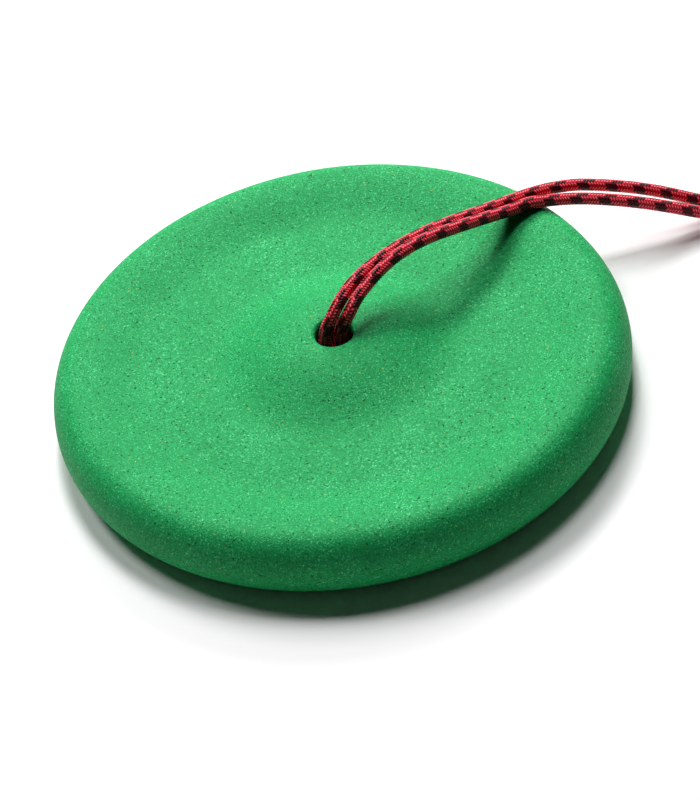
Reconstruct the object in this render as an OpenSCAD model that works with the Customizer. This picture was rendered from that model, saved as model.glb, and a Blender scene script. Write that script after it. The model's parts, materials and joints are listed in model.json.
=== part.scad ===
// Zip line trolley with a moulded foam disc seat on a doubled braided rope.
// The seat stands on its flat underside, with the origin on its axis at the floor, +Z up.
// The rope rises through the seat, lies over its rim and is wound into a coil, and its
// eye, the carabiner and the two-wheel trolley lie on the floor in front of the coil.

/* [Seat] */
// Diameter of the seat at its widest line
seat_d = 300; // [270:5:360]
// Height of the rim's crown above the floor
rim_h = 35.5; // [32:0.5:44]
// Height of the widest line above the floor
edge_h = 16; // [10:1:20]
// How far in from the edge the crown lies
crown_in = 15; // [12:1:24]
// How far in from the edge the flat underside starts
sole_in = 16; // [8:1:24]
// Height of the dish's lowest ring
dish_h = 28.5; // [26:0.5:34]
// Radius of the dish's lowest ring
dish_r = 96; // [84:1:100]
// Height of the central mound
mound_h = 41.5; // [40:0.5:48]
// Radius of the mound's flat top
mound_top_r = 16; // [14:1:24]
// Radius of the mound's foot
mound_foot_r = 68; // [60:1:84]
// Diameter of the rope hole
hole_d = 20; // [19:0.5:26]
// Rounding of the rope hole's lip
lip_r = 3; // [1:0.5:3]

/* [Seat core] */
// Inside diameter of the knot recess
recess_d = 64; // [56:1:80]
// Height of the recess's ceiling, which the load washer bears on
shoulder_h = 28.3; // [28.3:0.1:29]
// Wall of the cup around the recess
cup_wall = 3; // [2:0.5:5]
// Thickness of the hub above the washer
hub_t = 4.7; // [3:0.1:6]
// Diameter of the flange inside the foam
flange_d = 236; // [160:2:240]
// Height of the flange's underside
flange_h = 9; // [8:1:12]
// Thickness of the flange
flange_t = 5; // [3:0.5:7]
// Gap left between the foam and the core it is bonded to
bond_gap = 0.1; // [0.05:0.05:0.3]

/* [Rope] */
// Diameter of the rope
rope_d = 6.5; // [5:0.1:6.6]
// Distance between the two strands where they run side by side in the coil
strand_pitch = 6.8; // [6.8:0.1:8]
// Radius of the coil midway between its two strands
coil_r = 36; // [34:0.5:38]
// Turns in the coil
coil_turns = 3.5; // [3.5:1:5.5]
// Rise of the rope in one turn
coil_rise = 7.2; // [7:0.1:8]
// Width of the coil's tie
tie_w = 20; // [12:1:30]
// Thickness of the coil's tie
tie_t = 1; // [0.8:0.1:1.5]

/* [Knot and washer] */
// Diameter of the stopper knot
knot_d = 30; // [26:0.5:34]
// Height of the knot's lowest point above the floor
knot_low = 1.5; // [0.5:0.5:4]
// Diameter of the load washer
load_washer_d = 50; // [40:1:55]
// Thickness of the load washer
load_washer_t = 2.5; // [2:0.1:4]
// Hole in the load washer
load_washer_hole = 18; // [16:0.5:20]

/* [Rope eye] */
// Inside radius of the thimble
thimble_r = 12; // [12:0.5:16]
// Wall of the thimble
thimble_t = 1.5; // [1:0.1:2.5]
// Length of the seizing that closes the eye
seizing_l = 12; // [8:1:16]
// Thickness of the seizing
seizing_t = 1.5; // [1:0.1:2.5]

/* [Carabiner] */
// Diameter of the carabiner's bar
bar_d = 10; // [8:0.5:11]
// Radius of the wide end, to the middle of the bar
wide_r = 22; // [20:0.5:26]
// Distance between the centres of the two ends
reach = 62; // [58:1:75]
// Diameter of the gate
gate_d = 9.6; // [8:0.1:10.5]
// Thickness of the tongues that the gate straddles
tongue_t = 5; // [4:0.1:6]
// Width of the tongues
tongue_w = 8; // [6:0.5:8]
// Diameter of the gate's pin
pin_d = 3; // [2.5:0.1:4]
// Outside diameter of the locking sleeve
lock_d = 14.4; // [13:0.1:15]
// Length of the locking sleeve
lock_l = 24; // [18:1:28]
// Where the unlocked sleeve starts, from the gate's pin
lock_start = 16; // [9:0.5:18]

/* [Trolley] */
// Distance between the two axles
wheel_base = 80; // [70:1:100]
// Outside diameter of a wheel
wheel_d = 52; // [46:1:58]
// Width of a wheel
wheel_w = 16; // [15:0.5:18]
// Radius of the cable groove
groove_r = 6.5; // [5:0.5:7]
// Depth of the cable groove
groove_depth = 6; // [4:0.5:6]
// Largest cable that the trolley runs on
cable_d = 12; // [8:1:12]
// Gap between the two side plates
plate_gap = 25.2; // [22:0.2:30]
// Thickness of a side plate
plate_t = 3; // [2:0.5:5]
// Radius of the hanger sleeve
hanger_r = 8.2; // [7:0.1:10]
// Radius of the keeper sleeve under the cable
keeper_r = 6; // [5:0.5:8]
// Room left between the keeper sleeve and the cable
cable_room = 3; // [1:0.5:6]
// Radius of a tow hole
tow_r = 4.5; // [3:0.1:6]

/* [Bearings] */
// Bore of a bearing
bearing_bore = 8; // [8:1:8]
// Outside diameter of a bearing
bearing_d = 22; // [22:1:22]
// Width of a bearing
bearing_w = 7; // [7:0.5:7]
// Diameter of a ball
ball_d = 3.9; // [3.5:0.1:4]
// Balls in a bearing
balls = 7; // [6:1:8]

/* [Fasteners] */
// Diameter of the bolts' shanks
bolt_d = 7.96; // [7.9:0.01:7.98]
// Hex size of the bolt heads and nuts, across flats
hex_af = 13; // [12:0.5:14]
// Height of a bolt head
head_h = 5.3; // [4:0.1:6]
// Height of a lock nut
nut_h = 8; // [6:0.5:10]
// Diameter of a washer
washer_d = 16; // [15:0.5:20]
// Thickness of a washer
washer_t = 1.6; // [1:0.1:2.5]
// How far a bolt stands out of its nut
bolt_end = 2; // [1:0.5:5]

/* [Fits] */
// Clearance of loose parts that rest on each other
rest_fit = 0.3; // [0.2:0.05:0.5]
// Clearance of a bolt in its plate
bolt_fit = 0.2; // [0.1:0.05:0.4]
// Clearance of a turned fit, such as a race on its shaft
turned_fit = 0.02; // [0.01:0.01:0.05]
// Clearance of a ball in its race
ball_fit = 0.05; // [0.03:0.01:0.1]

/* [Hidden] */
$fn = 64;
arc_steps = 8;
floor_gap = 0.05;

// Seat and core
seat_r = seat_d / 2;
hole_r = hole_d / 2;
cup_in = recess_d / 2;
cup_out = cup_in + cup_wall;
hub_top = shoulder_h + hub_t;
cup_foot = 0.5;
load_washer_h = shoulder_h - rest_fit - load_washer_t;
knot_top = load_washer_h - rest_fit;
knot_round = 6;

// Coil
coil_x = 293;
coil_y = 99.5;
coil_foot = rope_d / 2 + tie_t + bolt_fit + floor_gap;
coil_in = coil_r - strand_pitch / 2 - rope_d / 2;
coil_out = coil_r + strand_pitch / 2 + rope_d / 2;
coil_low = coil_foot - rope_d / 2;
coil_top = coil_foot + coil_turns * coil_rise + rope_d / 2;
coil_round = 3;
tie_angle = 180 * tie_w / (PI * coil_r);
tie_turn = 60;

// Trolley, from the floor up
plate_low = head_h + washer_t;
gap_low = plate_low + plate_t;
gap_high = gap_low + plate_gap;
gap_mid = gap_low + plate_gap / 2;
nut_low = gap_high + plate_t + washer_t;
bolt_top = nut_low + nut_h + bolt_end;

// Trolley, along its sides from the hanger bolt
bar_r = bar_d / 2;
small_r = hanger_r + rest_fit + bar_r;
keeper_v = small_r + bar_r + 1.5 + keeper_r;
cable_v = keeper_v + keeper_r + cable_room + cable_d / 2;
axle_v = cable_v + cable_d / 2 + wheel_d / 2 - groove_depth;
tow_u = wheel_base / 2 + wheel_d / 2 + tow_r - 0.5;
tow_v = cable_v + cable_d / 2 + tow_r + 2.5;
insert_h = 2;
insert_in = 0.4;
insert_r = hex_af / 2 - 1.1;
hanger_edge = 15;
axle_edge = 16;
tow_edge = tow_r + 6.5;
bolt_places = [[0, 0], [0, keeper_v], [wheel_base / 2, axle_v], [-wheel_base / 2, axle_v]];
plate_corners = [
    [0, 0, hanger_edge], [tow_u, tow_v, tow_edge], [wheel_base / 2, axle_v, axle_edge],
    [-wheel_base / 2, axle_v, axle_edge], [-tow_u, tow_v, tow_edge]
];

// Carabiner and eye, which set where the hanger bolt lies
eye_x = coil_x + coil_r;
eye_y = 13;
eye_tube_r = rope_d / 2 + thimble_t;
eye_line_r = thimble_r + eye_tube_r;
eye_z = eye_line_r + rope_d / 2 + rest_fit;
bar_z = gap_low + 0.8 + lock_d / 2;
bar_y = eye_y - sqrt(pow(thimble_r - bar_r - rest_fit, 2) - pow(eye_z - bar_z, 2));
hanger_y = bar_y - wide_r - reach;
lean = asin((wide_r - small_r) / reach);
side_l = reach * cos(lean);
tongue_l = 5;
tongue_root = 1;
pin_a = tongue_l + 1;
nose_l = 6;
gate_l = side_l - nose_l - pin_a - rest_fit;
slot_t = tongue_t + 2 * rest_fit;
lock_in = max(bar_d, gate_d) / 2 + bolt_fit;
pin_l = gate_d - 1.2;
plunger_d = 3.6;
plunger_l = 5;
spring_wire = 0.5;
spring_turns = 7;
spring_l = 11;
spring_steps = 10;
bore_d = plunger_d + 0.4;
plunger_a = tongue_w / 2 + rest_fit;

// Neck of the eye: the strands lie one on the other, inside the seizing
neck_half = strand_pitch / 2 - 0.05;
neck_y = eye_y + 24.5;

// Bearings
pitch_r = (bearing_bore + bearing_d) / 4;
race_in = pitch_r - 1.45;
race_out = pitch_r + 1.45;
shield_t = 0.4;
shield_in = 0.1;
cage_w = 1.2;
cage_h = 5.2;
bearing_gap = 0.05;
bearing_levels = [gap_mid - bearing_w - bearing_gap, gap_mid + bearing_gap];

// Wheels
wheel_r = wheel_d / 2;
hub_r = bearing_d / 2 + 2.5;
web_out = wheel_r - groove_depth - 2;
web_in = 1.5;

// The rope's route, strand by strand: out of the knot, up through the seat, over its rim,
// down to the floor and round into the coil
strand_a_route = [
    [-4, 0, knot_top], [-4, 0, 42], [0.8, 1.3, 50.5], [5, 4.5, 54.8], [11.2, 11, 57.8],
    [18.8, 17.4, 59.8], [28.5, 24.2, 61], [40.4, 31.8, 61.2], [53.6, 39.3, 60.2],
    [69.2, 49.4, 55.6], [86.7, 62, 48.2], [104.2, 74.7, 40.8], [121.8, 82, 37.5],
    [141.2, 83.8, 35.1], [157.2, 83.1, 31.2], [173.9, 82.5, 25.5], [190, 81.6, 18.5],
    [203.5, 80.8, 11.6], [218.4, 80, 5.6], [233, 78.9, 3.4], [243.3, 81.7, 3.4],
    [250.8, 89.2, 4], [253.3, 95.9, 4.4]
];
strand_b_route = [
    [4, 0, knot_top], [4, 0, 42], [8.2, -0.2, 49.5], [11, 1, 53.2], [15.8, 6, 56.3],
    [22.2, 11.6, 58.8], [30.5, 17.8, 61.4], [41.6, 25.2, 62.8], [54.4, 32.7, 61.8],
    [69.8, 42.6, 56.8], [87.3, 55.2, 48.8], [104.8, 67.3, 41], [113.5, 70.9, 39.9],
    [122.2, 73.3, 37.3], [140.8, 74.2, 33.5], [156.8, 72.5, 30], [173.1, 71.5, 24.5],
    [189, 70.4, 18.1], [202.5, 70.2, 11.6], [217.6, 70, 5.8], [233, 71.5, 3.4],
    [246.7, 75.8, 3.6], [256.7, 85.8, 4.2]
];
// The two tails from the coil to the neck: strand B lies on top there, strand A below
tail_b = [[325.6, 88, 29.7], [326, 78, 29.6], [327, 68, 28.3], [328.3, 59, 25.8]];
tail_a = [[332.4, 88, 29.5], [332, 78, 28], [331.2, 68, 24.4], [330, 59, 20.2]];
eye_turn = 126;
eye_steps = 14;
function reversed(list) = [for (i = [len(list) - 1:-1:0]) list[i]];
neck_b = [[eye_x, neck_y + seizing_l, eye_z + neck_half], [eye_x, neck_y, eye_z + neck_half]];
neck_a = [[eye_x, neck_y + seizing_l, eye_z - neck_half], [eye_x, neck_y, eye_z - neck_half]];
eye_loop = [
    for (i = [0:eye_steps])
        let (a = -eye_turn + 2 * eye_turn * i / eye_steps)
        [eye_x, eye_y - eye_line_r * cos(a), eye_z - eye_line_r * sin(a)]
];
eye_route = concat(tail_b, neck_b, eye_loop, reversed(neck_a), reversed(tail_a));

// ---- Helpers -------------------------------------------------------------------------

function unit(v) = v / norm(v);
function direction(path, i) =
    unit(path[min(i + 1, len(path) - 1)] - path[max(i - 1, 0)]);
function normals(path, last = [0, 1, 0], i = 0) =
    i == len(path) ? [] :
    let (t = direction(path, i), n = unit(last - (last * t) * t))
    concat([n], normals(path, n, i + 1));

// A round tube of diameter d along the path's points, with a ring at each point.
module tube(path, d, sides = 8) {
    ring_normals = normals(path);
    last = len(path) - 1;
    points = [
        for (i = [0:last], k = [0:sides - 1])
            let (n = ring_normals[i], b = cross(direction(path, i), n), a = 360 * k / sides)
            path[i] + d / 2 * (cos(a) * n + sin(a) * b)
    ];
    walls = [
        for (i = [0:last - 1], k = [0:sides - 1])
            let (m = (k + 1) % sides)
            [i * sides + k, (i + 1) * sides + k, (i + 1) * sides + m, i * sides + m]
    ];
    caps = [
        [for (k = [0:sides - 1]) k],
        [for (k = [sides - 1:-1:0]) last * sides + k]
    ];
    polyhedron(points, concat(caps, walls), convexity = 10);
}

// Points of an elliptical arc from angle a0 to angle a1.
function arc(centre, rx, ry, a0, a1, steps) = [
    for (i = [0:steps])
        let (a = a0 + (a1 - a0) * i / steps)
        [centre[0] + rx * cos(a), centre[1] + ry * sin(a)]
];
// Points of a smooth step between two heights, without its first point.
function smooth_step(from, to, steps) = [
    for (i = [1:steps])
        let (t = i / steps, s = (1 - cos(180 * t)) / 2)
        [from[0] + (to[0] - from[0]) * t, from[1] + (to[1] - from[1]) * s]
];

// Outline around circles [x, y, r] that are listed anticlockwise.
function edge_normal(a, b) =
    atan2(b[1] - a[1], b[0] - a[0])
    - acos((a[2] - b[2]) / norm([b[0] - a[0], b[1] - a[1]]));
function around(circles) = [
    for (i = [0:len(circles) - 1])
        let (
            n = len(circles), c = circles[i],
            a0 = edge_normal(circles[(i + n - 1) % n], c),
            a1 = edge_normal(c, circles[(i + 1) % n]),
            sweep = (a1 - a0 + 720) % 360
        )
        each arc(c, c[2], c[2], a0, a0 + sweep, arc_steps)
];

// A ring between two radii, from height low.
module ring(r_in, r_out, low, h) {
    difference() {
        translate([0, 0, low]) cylinder(r = r_out, h = h);
        translate([0, 0, low - h]) cylinder(r = r_in, h = 3 * h);
    }
}

// The trolley's own places: +u along its length, +v from the hanger bolt to the wheels.
module on_trolley(place = [0, 0]) {
    translate([eye_x, hanger_y, 0]) rotate([0, 0, 180]) translate([place[0], place[1], 0]) children();
}

// The carabiner's gate line: x outwards, y from the narrow end to the wide end, pin at 0.
module on_gate_line() {
    translate([eye_x, hanger_y, bar_z]) rotate([0, 0, -lean]) translate([small_r, pin_a, 0]) children();
}

// A bar lying along y from y0, of length l.
module bar(d, y0, l) {
    translate([0, y0, 0]) rotate([-90, 0, 0]) cylinder(d = d, h = l);
}

// ---- Seat ----------------------------------------------------------------------------

module seat_foam() {
    wall = cup_out + bond_gap;
    flange = flange_d / 2 + bond_gap;
    crown = [seat_r - crown_in, rim_h];
    outline = concat(
        [[wall, 0]],
        arc([seat_r - sole_in, edge_h], sole_in, edge_h, -90, 0, arc_steps),
        arc([seat_r - crown_in, edge_h], crown_in, rim_h - edge_h, 0, 90, arc_steps),
        smooth_step(crown, [dish_r, dish_h], arc_steps),
        smooth_step([mound_foot_r, dish_h], [mound_top_r, mound_h], 12),
        arc([hole_r + lip_r, mound_h - lip_r], lip_r, lip_r, 90, 180, arc_steps),
        [
            [hole_r, hub_top + bond_gap], [wall, hub_top + bond_gap],
            [wall, flange_h + flange_t + bond_gap], [flange, flange_h + flange_t + bond_gap],
            [flange, flange_h - bond_gap], [wall, flange_h - bond_gap]
        ]
    );
    color("#41b871") rotate_extrude($fn = 128) polygon(outline);
}

module seat_core() {
    color("#2b2d2f") rotate_extrude($fn = 128) polygon([
        [cup_in, cup_foot], [cup_out, cup_foot], [cup_out, flange_h], [flange_d / 2, flange_h],
        [flange_d / 2, flange_h + flange_t], [cup_out, flange_h + flange_t],
        [cup_out, hub_top], [hole_r + bolt_fit, hub_top], [hole_r + bolt_fit, shoulder_h],
        [cup_in, shoulder_h]
    ]);
}

module load_washer() {
    color("#b9bcc0") ring(load_washer_hole / 2, load_washer_d / 2, load_washer_h, load_washer_t);
}

// ---- Rope ----------------------------------------------------------------------------

module stopper_knot() {
    r = knot_d / 2;
    color("#a3202f") rotate_extrude() polygon(concat(
        [[0, knot_low]],
        arc([r - knot_round, knot_low + knot_round], knot_round, knot_round, -90, 0, arc_steps),
        arc([r - knot_round, knot_top - knot_round], knot_round, knot_round, 0, 90, arc_steps),
        [[0, knot_top]]
    ));
}

module rope_strand_a() {
    color("#b32137") tube(strand_a_route, rope_d);
}

module rope_strand_b() {
    color("#b32137") tube(strand_b_route, rope_d);
}

// The outer shape of the whole coil.
module rope_coil() {
    color("#b32137") translate([coil_x, coil_y, 0]) rotate_extrude() polygon(concat(
        arc([coil_in + coil_round, coil_low + coil_round], coil_round, coil_round, 180, 270, 4),
        arc([coil_out - coil_round, coil_low + coil_round], coil_round, coil_round, 270, 360, 4),
        arc([coil_out - coil_round, coil_top - coil_round], coil_round, coil_round, 0, 90, 4),
        arc([coil_in + coil_round, coil_top - coil_round], coil_round, coil_round, 90, 180, 4)
    ));
}

// The section of the coil, grown by a margin.
module coil_section(margin) {
    translate([coil_in - margin, coil_low - margin])
        square([coil_out - coil_in + 2 * margin, coil_top - coil_low + 2 * margin]);
}

// A strap around the coil's section.
module coil_tie() {
    color("#202124") translate([coil_x, coil_y, 0]) rotate([0, 0, tie_turn])
    rotate_extrude(angle = tie_angle) difference() {
        coil_section(bolt_fit + tie_t);
        coil_section(bolt_fit);
    }
}

module rope_eye() {
    color("#b32137") tube(eye_route, rope_d);
}

module eye_seizing() {
    half = rope_d / 2 + bolt_fit;
    color("#1d1d20") translate([eye_x, neck_y + seizing_l, eye_z]) rotate([90, 0, 0])
    linear_extrude(seizing_l) difference() {
        union() {
            for (side = [-1, 1]) translate([0, side * neck_half]) circle(half + seizing_t);
            square([2 * (half + seizing_t), 2 * neck_half], center = true);
        }
        for (side = [-1, 1]) translate([0, side * neck_half]) circle(half);
        square([2 * half, 2 * neck_half], center = true);
    }
}

// A round thimble: a channel that is round on the inside and holds the rope on the outside.
module eye_thimble() {
    groove_d = rope_d + bolt_fit;
    color("#c3c6c9") translate([eye_x, eye_y, eye_z]) rotate([0, 90, 0]) difference() {
        rotate_extrude() translate([eye_line_r, 0]) circle(eye_tube_r);
        rotate_extrude() translate([eye_line_r, 0]) circle(d = groove_d);
        ring(eye_line_r, eye_line_r + 2 * eye_tube_r, -eye_tube_r, 2 * eye_tube_r);
    }
}

// ---- Carabiner -----------------------------------------------------------------------

// The middle of the bar, from the hinge's shoulder round both ends to the nose.
function place_on_gate_line(a) =
    [small_r * cos(lean) + a * sin(lean), a * cos(lean) - small_r * sin(lean), 0];
function flat_arc(centre, r, a0, a1, steps) =
    [for (p = arc(centre, r, r, a0, a1, steps)) [p[0], p[1], 0]];
function bar_route() = concat(
    [place_on_gate_line(pin_a - tongue_l)],
    flat_arc([0, 0], small_r, -lean, -180 + lean, 12),
    flat_arc([0, reach], wide_r, 180 + lean, -lean, 18),
    [place_on_gate_line(side_l - nose_l)]
);

// A flat tongue along y that the gate straddles.
module tongue(y0, l) {
    translate([-tongue_w / 2, y0, -tongue_t / 2]) cube([tongue_w, l, tongue_t]);
}

// A slot across the gate that lets a tongue swing through it.
module tongue_slot(y0, l) {
    translate([-gate_d, y0, -slot_t / 2]) cube([2 * gate_d, l, slot_t]);
}

module upright(d, h) {
    cylinder(d = d, h = h, center = true);
}

module carabiner_body() {
    color("#8d9196") difference() {
        union() {
            translate([eye_x, hanger_y, bar_z]) tube(bar_route(), bar_d, 24);
            on_gate_line() {
                tongue(-tongue_l - tongue_root, tongue_l + tongue_root);
                upright(tongue_w, tongue_t);
                tongue(gate_l + rest_fit - tongue_l, tongue_l + tongue_root);
            }
        }
        on_gate_line() upright(pin_d + 2 * turned_fit, bar_d);
    }
}

module carabiner_gate() {
    bore_l = plunger_l + spring_l + rest_fit;
    color("#a7abaf") on_gate_line() difference() {
        union() {
            sphere(d = gate_d);
            bar(gate_d, 0, gate_l);
        }
        tongue_slot(-gate_d, gate_d + plunger_a);
        tongue_slot(gate_l - tongue_l - rest_fit, gate_d);
        upright(pin_d + 4 * turned_fit, 2 * gate_d);
        bar(bore_d, plunger_a - 1, bore_l + 1);
    }
}

module gate_pin() {
    color("#7a7d80") on_gate_line() upright(pin_d, pin_l);
}

module gate_plunger() {
    color("#c9b37a") on_gate_line() bar(plunger_d, plunger_a, plunger_l);
}

module gate_spring() {
    r = (plunger_d - spring_wire) / 2;
    last = spring_turns * spring_steps;
    rise = spring_l - spring_wire;
    low = plunger_a + plunger_l + spring_wire / 2;
    coils = [
        for (i = [0:last])
            let (a = 360 * i / spring_steps)
            [r * cos(a), low + rise * i / last, r * sin(a)]
    ];
    color("#b5b8bb") on_gate_line() tube(coils, spring_wire, 6);
}

module locking_sleeve() {
    color("#5c6064") on_gate_line() translate([0, lock_start, 0]) rotate([-90, 0, 0])
        ring(lock_in, lock_d / 2, 0, lock_l);
}

// ---- Trolley frame -------------------------------------------------------------------

module side_plate(low) {
    on_trolley() difference() {
        translate([0, 0, low]) linear_extrude(plate_t) polygon(around(plate_corners));
        for (place = bolt_places) translate([place[0], place[1], low - plate_t])
            cylinder(d = bolt_d + 2 * bolt_fit, h = 3 * plate_t);
        for (side = [-1, 1]) translate([side * tow_u, tow_v, low - plate_t])
            cylinder(r = tow_r, h = 3 * plate_t);
    }
}

module lower_side_plate() {
    color("#c8ccd0") side_plate(plate_low);
}

module upper_side_plate() {
    color("#c8ccd0") side_plate(gap_high);
}

// A hexagon with its corners chamfered at the lower end, or at both ends.
module chamfered_hexagon(low, h, both = false) {
    corner = hex_af / 2 / cos(30) + turned_fit;
    tip = hex_af / 2;
    chamfer = (corner - tip) * 0.6;
    intersection() {
        translate([0, 0, low]) cylinder(d = hex_af / cos(30), h = h, $fn = 6);
        rotate_extrude() polygon([
            [0, low], [tip, low], [corner, low + chamfer],
            [corner, low + h - (both ? chamfer : 0)], [both ? tip : corner, low + h], [0, low + h]
        ]);
    }
}

module bolts() {
    color("#9aa0a6") for (place = bolt_places) on_trolley(place) {
        chamfered_hexagon(0, head_h);
        translate([0, 0, head_h / 2]) cylinder(d = bolt_d, h = bolt_top - head_h / 2);
    }
}

module washers() {
    color("#b9bcc0") for (place = bolt_places) on_trolley(place) {
        ring(bolt_d / 2 + bolt_fit, washer_d / 2, head_h, washer_t);
        ring(bolt_d / 2 + bolt_fit, washer_d / 2, gap_high + plate_t, washer_t);
    }
}

module lock_nuts() {
    color("#9aa0a6") for (place = bolt_places) on_trolley(place) difference() {
        chamfered_hexagon(nut_low, nut_h, true);
        translate([0, 0, nut_low - 1]) cylinder(r = bolt_d / 2 + turned_fit, h = nut_h + 2);
        translate([0, 0, nut_low + nut_h - insert_h]) cylinder(r = insert_r, h = nut_h);
    }
}

module nut_inserts() {
    color("#2f6fb0") for (place = bolt_places) on_trolley(place)
        ring(bolt_d / 2 + turned_fit, insert_r - turned_fit, nut_low + nut_h - insert_h,
             insert_h - insert_in);
}

module hanger_sleeve() {
    color("#d0d3d6") on_trolley(bolt_places[0]) ring(bolt_d / 2 + bolt_fit, hanger_r, gap_low, plate_gap);
}

module keeper_sleeve() {
    color("#d0d3d6") on_trolley(bolt_places[1]) ring(bolt_d / 2 + bolt_fit, keeper_r, gap_low, plate_gap);
}

module axle_spacers() {
    h = bearing_levels[0] - gap_low;
    color("#d0d3d6") for (side = [-1, 1]) on_trolley([side * wheel_base / 2, axle_v]) {
        ring(bolt_d / 2 + bolt_fit, race_in, gap_low, h);
        ring(bolt_d / 2 + bolt_fit, race_in, gap_high - h, h);
    }
}

// ---- Wheels and bearings -------------------------------------------------------------

// The ball track of both races, as a ring of round section.
module ball_track(low) {
    translate([0, 0, low + bearing_w / 2]) rotate_extrude()
        translate([pitch_r, 0]) circle(d = ball_d + 2 * ball_fit);
}

module at_balls(low) {
    for (i = [0:balls - 1]) rotate([0, 0, 360 * i / balls])
        translate([pitch_r, 0, low + bearing_w / 2]) children();
}

module inner_races() {
    color("#c9ccd0") for (side = [-1, 1], low = bearing_levels)
        on_trolley([side * wheel_base / 2, axle_v]) difference() {
            ring(bearing_bore / 2, race_in, low, bearing_w);
            ball_track(low);
        }
}

module wheel(side) {
    low = gap_mid - wheel_w / 2;
    high = gap_mid + wheel_w / 2;
    open = acos((groove_r - groove_depth) / groove_r);
    groove = [wheel_r - groove_depth + groove_r, gap_mid];
    bore = bearing_d / 2 + turned_fit;
    on_trolley([side * wheel_base / 2, axle_v]) rotate_extrude($fn = 96) polygon(concat(
        [
            [bore, low], [hub_r, low], [hub_r, low + web_in], [web_out, low + web_in],
            [web_out, low], [wheel_r, low]
        ],
        arc(groove, groove_r, groove_r, 180 + open, 180 - open, 16),
        [
            [wheel_r, high], [web_out, high], [web_out, high - web_in],
            [hub_r, high - web_in], [hub_r, high], [bore, high]
        ]
    ));
}

module outer_races(side) {
    for (low = bearing_levels) on_trolley([side * wheel_base / 2, axle_v]) difference() {
        ring(race_out, bearing_d / 2, low, bearing_w);
        ball_track(low);
    }
}

module shields(side) {
    for (low = bearing_levels) on_trolley([side * wheel_base / 2, axle_v]) {
        ring(race_in + shield_t, race_out - turned_fit, low + shield_in, shield_t);
        ring(race_in + shield_t, race_out - turned_fit, low + bearing_w - shield_in - shield_t,
             shield_t);
    }
}

module ball_sets(side) {
    for (low = bearing_levels) on_trolley([side * wheel_base / 2, axle_v])
        at_balls(low) sphere(d = ball_d);
}

// Crown cages: a ring under the balls with fingers that stand up between them.
module cages(side) {
    pocket = ball_d / 2 + ball_fit;
    for (low = bearing_levels) on_trolley([side * wheel_base / 2, axle_v]) difference() {
        ring(pitch_r - cage_w / 2, pitch_r + cage_w / 2, low + (bearing_w - cage_h) / 2, cage_h);
        at_balls(low) translate([0, 0, -pocket]) cylinder(r = pocket, h = bearing_w);
    }
}

module front_wheel() {
    color("#b7bcc2") wheel(1);
}

module front_outer_races() {
    color("#c9ccd0") outer_races(1);
}

module front_shields() {
    color("#aab0b5") shields(1);
}

module front_balls() {
    color("#dfe2e5") ball_sets(1);
}

module front_cages() {
    color("#b39b5e") cages(1);
}

module rear_wheel() {
    color("#b7bcc2") wheel(-1);
}

module rear_outer_races() {
    color("#c9ccd0") outer_races(-1);
}

module rear_shields() {
    color("#aab0b5") shields(-1);
}

module rear_balls() {
    color("#dfe2e5") ball_sets(-1);
}

module rear_cages() {
    color("#b39b5e") cages(-1);
}

seat_foam();
seat_core();
load_washer();
stopper_knot();
rope_strand_a();
rope_strand_b();
rope_coil();
coil_tie();
rope_eye();
eye_seizing();
eye_thimble();
carabiner_body();
carabiner_gate();
gate_pin();
gate_plunger();
gate_spring();
locking_sleeve();
lower_side_plate();
upper_side_plate();
bolts();
washers();
lock_nuts();
nut_inserts();
hanger_sleeve();
keeper_sleeve();
axle_spacers();
inner_races();
front_wheel();
front_outer_races();
front_shields();
front_balls();
front_cages();
rear_wheel();
rear_outer_races();
rear_shields();
rear_balls();
rear_cages();
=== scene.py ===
"""Looks of a zip line trolley with its moulded foam disc seat.

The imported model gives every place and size. This script dresses it: it makes the foam of the
seat, the braided rope with its knot, coil, strap and whipping, the carabiner's bar and its
knurled sleeve, and it gives every other piece the finish that the real one has.
Lengths are in metres, and the seat stands on the floor at z = 0 with its axis on the origin.
"""

from __future__ import annotations

import json
import logging
import math
from dataclasses import dataclass, field
from enum import Enum

import bpy
import numpy as np
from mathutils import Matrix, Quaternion, Vector

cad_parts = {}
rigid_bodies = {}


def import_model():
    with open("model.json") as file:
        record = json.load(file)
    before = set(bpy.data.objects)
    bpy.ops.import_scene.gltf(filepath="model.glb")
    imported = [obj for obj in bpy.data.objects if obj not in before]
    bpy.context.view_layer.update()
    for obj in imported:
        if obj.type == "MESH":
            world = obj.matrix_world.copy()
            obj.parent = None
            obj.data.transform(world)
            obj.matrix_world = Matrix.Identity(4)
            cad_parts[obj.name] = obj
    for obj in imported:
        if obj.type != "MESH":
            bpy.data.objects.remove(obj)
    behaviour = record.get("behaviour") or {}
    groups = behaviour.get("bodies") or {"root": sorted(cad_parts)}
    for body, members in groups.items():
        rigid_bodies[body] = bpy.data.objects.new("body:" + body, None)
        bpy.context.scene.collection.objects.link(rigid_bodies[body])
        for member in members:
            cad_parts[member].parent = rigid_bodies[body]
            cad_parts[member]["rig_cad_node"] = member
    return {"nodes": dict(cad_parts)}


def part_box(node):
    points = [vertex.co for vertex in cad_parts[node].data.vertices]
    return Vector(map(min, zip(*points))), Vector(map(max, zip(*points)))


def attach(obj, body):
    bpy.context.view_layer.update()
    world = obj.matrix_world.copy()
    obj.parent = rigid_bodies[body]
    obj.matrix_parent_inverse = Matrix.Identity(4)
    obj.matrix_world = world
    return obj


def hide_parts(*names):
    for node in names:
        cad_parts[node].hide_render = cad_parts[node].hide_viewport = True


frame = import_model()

log = logging.getLogger("zip_line_trolley")
MM = 0.001
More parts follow.
